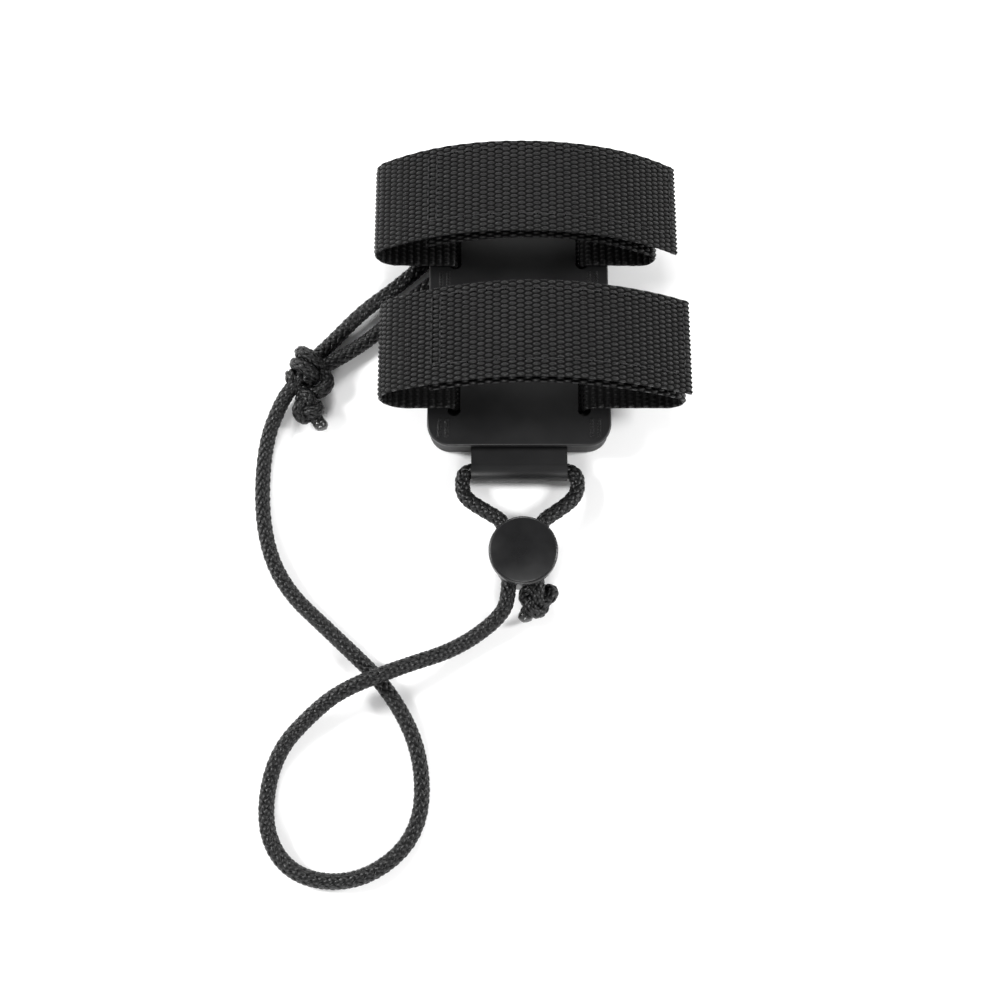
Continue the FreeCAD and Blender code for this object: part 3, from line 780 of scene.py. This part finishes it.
# %% [markdown]
# ## Hook and loop tapes
# The hook tape is sewn under the flap and the loop tape on top of the lap. Only their edges show while the strap is
# closed, but the whole faces show when a flap is peeled open. The hook tape is a base with rows of small hooks; each
# hook is a bent strip of a few faces, copied over the face. The loop tape is a pile of short curled tufts.

# %% Points over a tape
def arc_place(centre, radius, angle):
    return centre[0] + radius * math.cos(angle), centre[1] + radius * math.sin(angle)


def tape_base(centre, r_low, r_high, first, last, y0, y1):
    """A bent strip between two radii, closed all round."""
    count = int(abs(last - first) * r_high / 0.5)
    rings = []
    for angle in np.linspace(first, last, count):
        low, high = arc_place(centre, r_low, angle), arc_place(centre, r_high, angle)
        rings.append([(low[0], y0, low[1]), (low[0], y1, low[1]), (high[0], y1, high[1]), (high[0], y0, high[1])])
    rings = np.array(rings)[:, ::-1] * MM
    return ring_mesh(close_ends(rings, (rings[0].mean(axis=0), rings[-1].mean(axis=0))))


def sprinkle(shape, faces, centre, radius, way, first, last, y0, y1, pitch, seed, jitter):
    """Copies of a small shape (x along the tape, y across, z out of it) in rows over a bent tape."""
    picker = random.Random(seed)
    points, quads, start = [], [], 0
    columns = int(abs(last - first) * radius / pitch[0])
    rows = int((y1 - y0) / pitch[1])
    for column in range(columns):
        for row in range(rows):
            along = (column + 0.5 + jitter * picker.uniform(-0.5, 0.5)) / columns
            angle = first + (last - first) * along
            y = y0 + (row + 0.5 + jitter * picker.uniform(-0.5, 0.5)) * (y1 - y0) / rows
            turn = picker.uniform(0, 2 * math.pi) if jitter else 0.0
            flip = 1 if (column + row) % 2 else -1
            size = 1 + jitter * picker.uniform(-0.25, 0.25)
            local = shape * size * (flip, 1, 1)
            spun = np.stack([local[:, 0] * math.cos(turn) - local[:, 1] * math.sin(turn),
                             local[:, 0] * math.sin(turn) + local[:, 1] * math.cos(turn), local[:, 2]], axis=1)
            out = np.array([math.cos(angle), math.sin(angle)]) * way
            along_way = np.array([math.sin(angle), -math.cos(angle)])
            base = np.array(arc_place(centre, radius, angle))
            flat = base + spun[:, :1] * along_way + spun[:, 2:] * out
            points.append(np.stack([flat[:, 0], y + spun[:, 1], flat[:, 1]], axis=1))
            turned = faces if flip * way > 0 else faces[:, ::-1]
            quads.append(turned + start)
            start += len(shape)
    return np.concatenate(points) * MM, np.concatenate(quads)


def small_tube(line, radius, sides):
    """Points and faces of a thin tube along a short line of points, closed at both ends."""
    line = np.array(line, dtype=float)
    tangent, normal, side = line_frames(line)
    around = np.linspace(0, 2 * math.pi, sides, endpoint=False)
    rings = (line[:, None] + radius * (normal[:, None] * np.cos(around)[None, :, None]
             + side[:, None] * np.sin(around)[None, :, None]))
    return ring_mesh(close_ends(rings, (line[0], line[-1])))


# %% [markdown]
# Both tapes are sewn 1 mm inside their edges. The hooks are left in straight rows, as they are moulded, while the
# pile's tufts are turned and spaced at random.

# %% Sew both tapes to each strap
HOOK_STEM = 0.4            # hook tape's backing; the hooks stand on it
HOOK_PITCH = (1.0, 0.75)   # along and across the tape
TUFT_PITCH = (0.62, 0.62)
hook_shape = small_tube([(0, 0, 0), (0, 0.02, 0.32), (0.1, 0, 0.5), (0.26, 0, 0.5), (0.34, 0, 0.36)], 0.085, 4)
tuft_shape = small_tube([(-0.3, 0, 0), (-0.36, 0.05, 0.4), (0, -0.05, 0.66), (0.34, 0.05, 0.38), (0.26, 0, 0)], 0.09, 3)
tapes = {}
for strap_name in STRAPS:
    y_mid, arch_x, arch_r, _, _, seam_x, tip_x = STRAPS[strap_name]
    lap_r, seam, right_turn = straps[strap_name]
    centre = (arch_x, ARCH_Z)
    tape1 = y_mid + WEB_W / 2 - TAPE_TOP
    tape0 = tape1 - TAPE_W
    inset = TAPE_END / arch_r
    under = arch_r - WEB_T / 2
    first, last = seam - PEEL_GAP / arch_r, math.acos(tip_x / arch_r) + inset
    base = tape_base(centre, under - HOOK_STEM, under + 0.1, first, last, tape0, tape1)
    hooks = sprinkle(hook_shape[0], hook_shape[1], centre, under - HOOK_STEM, -1, first, last,
                     tape0 + 0.6, tape1 - 0.6, HOOK_PITCH, 3, 0.0)
    hook_tape = build_mesh(f"hooks_{strap_name}", [base, hooks])
    place_piece(hook_tape, f"{strap_name}_flap", hook_finish, "hook_tape", f"{strap_name}_hook_tape")
    top = lap_r + WEB_T / 2
    lap_end = math.acos((seam_x - arch_x) / lap_r) - inset
    backing = tape_base(centre, top - 0.1, top + 0.5, right_turn, lap_end, tape0, tape1)
    tufts = sprinkle(tuft_shape[0], tuft_shape[1], centre, top + 0.45, 1, right_turn, lap_end,
                     tape0 + 0.3, tape1 - 0.3, TUFT_PITCH, 5, 1.0)
    loop_tape = build_mesh(f"pile_{strap_name}", [backing, tufts])
    place_piece(loop_tape, "carrier", pile_finish, "loop_tape", f"{strap_name}_loop_tape")
    tapes[strap_name] = (first, last, lap_end, tape0, tape1)


# %% [markdown]
# ## Sewing
# A lockstitch shows as separate slanted stitches, each a short strand that dives into the webbing at both ends.
# Each stitch is a tiny bent tube, 2.4 mm long, so the line of stitches sinks between the beads of the weave.

# %% Stitch lines
STITCH = 2.4
THREAD_R = 0.19
THREAD_ROUND = 6
DOUBLE_ROW = 2.3           # between the two stitch rows at the seam


def stitch_run(places, outs):
    """Stitches along a line of points in millimetres with an outward direction at each."""
    places, outs = np.array(places, dtype=float), np.array(outs, dtype=float)
    run = np.concatenate([[0], np.cumsum(np.linalg.norm(np.diff(places, axis=0), axis=1))])
    count = max(int(round(run[-1] / STITCH)), 1)
    parts = []
    for i in range(count):
        knots = (i + np.array([0.1, 0.24, 0.5, 0.76, 0.9])) / count * run[-1]
        line = np.stack([np.interp(knots, run, places[:, k]) for k in range(3)], axis=1)
        out = np.stack([np.interp(knots, run, outs[:, k]) for k in range(3)], axis=1)
        lift = np.array([-0.4, -0.06, 0.0, -0.06, -0.4])[:, None]
        parts.append(scaled_tube(line + out * lift))
    return parts


def scaled_tube(line):
    points, quads = small_tube(line, THREAD_R, THREAD_ROUND)
    return points * MM, quads


def stitch_uvs(parts):
    return [np.stack([p[:, 0] + p[:, 1], p[:, 2]], axis=1) for p, _ in parts]


def along_arc(centre, radius, first, last, y):
    angles = np.linspace(first, last, 80)
    places = [(centre[0] + radius * math.cos(a), y, centre[1] + radius * math.sin(a)) for a in angles]
    outs = [(math.cos(a), 0, math.sin(a)) for a in angles]
    return places, outs


def across_arc(centre, radius, angle, y0, y1):
    x, z = arc_place(centre, radius, angle)
    ys = np.linspace(y0, y1, 20)
    return [(x, y, z) for y in ys], [(math.cos(angle), 0, math.sin(angle))] * len(ys)


for strap_name in STRAPS:
    y_mid, arch_x, arch_r, _, _, seam_x, tip_x = STRAPS[strap_name]
    lap_r, seam, right_turn = straps[strap_name]
    first, last, lap_end, tape0, tape1 = tapes[strap_name]
    centre = (arch_x, ARCH_Z)
    inset = TAPE_END / arch_r
    start, stop = first - 0.4 / arch_r, last + inset
    low, high = tape0 + STITCH_IN, tape1 - STITCH_IN
    skin = arch_r + WEB_T / 2 - 0.12
    parts = []
    for y in (low, high):
        parts += stitch_run(*along_arc(centre, skin, start, stop, y))
    for angle in (start, start - DOUBLE_ROW / arch_r, stop):
        parts += stitch_run(*across_arc(centre, skin, angle, low, high))
    sewing = build_mesh(f"stitches_{strap_name}_flap", parts, stitch_uvs(parts))
    place_piece(sewing, f"{strap_name}_flap", thread_finish, "thread", f"{strap_name}_flap_stitching")
    parts = []
    skin = lap_r + WEB_T / 2 + 0.25
    for y in (low, high):
        parts += stitch_run(*along_arc(centre, skin, right_turn + inset, lap_end - inset, y))
    sewing = build_mesh(f"stitches_{strap_name}_lap", parts, stitch_uvs(parts))
    place_piece(sewing, "carrier", thread_finish, "thread", f"{strap_name}_lap_stitching")


# %% [markdown]
# ## Bartacks
# A bartack is a short dense zigzag of thread that closes two layers where they pull apart. Here they sit on the
# panel past each slot. Each bar is one thread that runs back and forth over a few long base stitches.

# %% Bartacks
TACK_X, TACK_PAST, TACK_L, TACK_W, TACK_PITCH = 19.8, 3.3, 5.2, 1.1, 1.9
SLOT_Y, SLOT_L = 20.8, 29.0
TACK_TURNS = 13
parts = []
for x in (-TACK_X, TACK_X):
    for slot_y in (-SLOT_Y, SLOT_Y):
        for way in (-1, 1):
            for row in (x - TACK_PITCH / 2, x + TACK_PITCH / 2):
                y = slot_y + way * (SLOT_L / 2 + TACK_PAST)
                line = [(row, y - TACK_L / 2, PANEL_TOP - 0.15)]
                for i in range(TACK_TURNS):
                    at_y = y + TACK_L * ((i + 0.5) / TACK_TURNS - 0.5)
                    for share, lift in ((-1, -0.05), (0, 0.16), (1, -0.05)):
                        side = share if i % 2 else -share
                        line.append((row + side * TACK_W / 2.2, at_y + 0.08 * side, PANEL_TOP + lift))
                line.append((row, y + TACK_L / 2, PANEL_TOP - 0.15))
                line, _ = even_points(np.array(line), 0.18)
                points, quads = small_tube(line, 0.15, 5)
                parts.append((points * MM, quads))
bartacks = build_mesh("bartack_threads", parts, stitch_uvs(parts))
place_piece(bartacks, "carrier", thread_finish, "thread", "bartacks")


# %% [markdown]
# ## Cord lock's button
# The button's top has a fine raised rim, which catches a thin ring of light. A lathe profile could be spun for it.
# A cylinder with an inset and lowered top is quicker, and its crisp step is what makes the ring sharp. It is sunk
# into the button and rides on it.

# %% Raised rim on the button
RIM_R, RIM_WIDE = 8.1 * MM, 0.22 * MM
RIM_PROUD, RIM_STEP, DISC_DEEP = 0.10 * MM, 0.08 * MM, 0.5 * MM
button_low, button_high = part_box("cord_lock_plunger")
lock_x, lock_y = (button_low.x + button_high.x) / 2, (button_low.y + button_high.y) / 2
deselect()
bpy.ops.mesh.primitive_cylinder_add(vertices=128, radius=RIM_R, depth=DISC_DEEP,
                                    location=(lock_x, lock_y, button_high.z + RIM_PROUD - DISC_DEEP / 2))
button_face = bpy.context.object
button_face.name = "button_face"
bpy.ops.object.transform_apply(location=True, rotation=True, scale=True)
bpy.ops.object.mode_set(mode="EDIT")
bpy.ops.mesh.select_mode(type="FACE")
bpy.ops.mesh.select_all(action="DESELECT")
bpy.ops.object.mode_set(mode="OBJECT")
for face in button_face.data.polygons:
    face.select = face.normal.z > 0.9
bpy.ops.object.mode_set(mode="EDIT")
bpy.ops.mesh.inset(thickness=RIM_WIDE, depth=0)
bpy.ops.transform.translate(value=(0, 0, -RIM_STEP))
bpy.ops.object.mode_set(mode="OBJECT")
bpy.ops.object.shade_smooth_by_angle(angle=math.radians(35))
place_piece(button_face, "lock_button", lock_finish, "lock_plastic")
print("button rim, mm:", [round(v / MM, 2) for v in (lock_x, lock_y, button_high.z + RIM_PROUD)])


# %% [markdown]
# ## CAD nodes that keep their shape
# The plate, the folded tab, the lock's barrel and its spring are already the right shape. They get their finishes
# in their own material slots.

# %% Finishes on the CAD nodes
node_finishes = {
    "front_panel": panel_finish, "base_plate": base_finish, "cord_tab": panel_finish,
    "cord_lock_barrel": lock_finish, "cord_lock_plunger": lock_finish, "cord_lock_spring": spring_finish,
    "tether_in_tab": cord_finish,
}
for node_name, finish in node_finishes.items():
    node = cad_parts[node_name]
    node.data.materials.clear()
    node.data.materials.append(finish)
print("finished CAD nodes:", len(node_finishes))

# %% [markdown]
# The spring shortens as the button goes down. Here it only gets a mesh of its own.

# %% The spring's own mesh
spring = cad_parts["cord_lock_spring"]
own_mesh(spring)
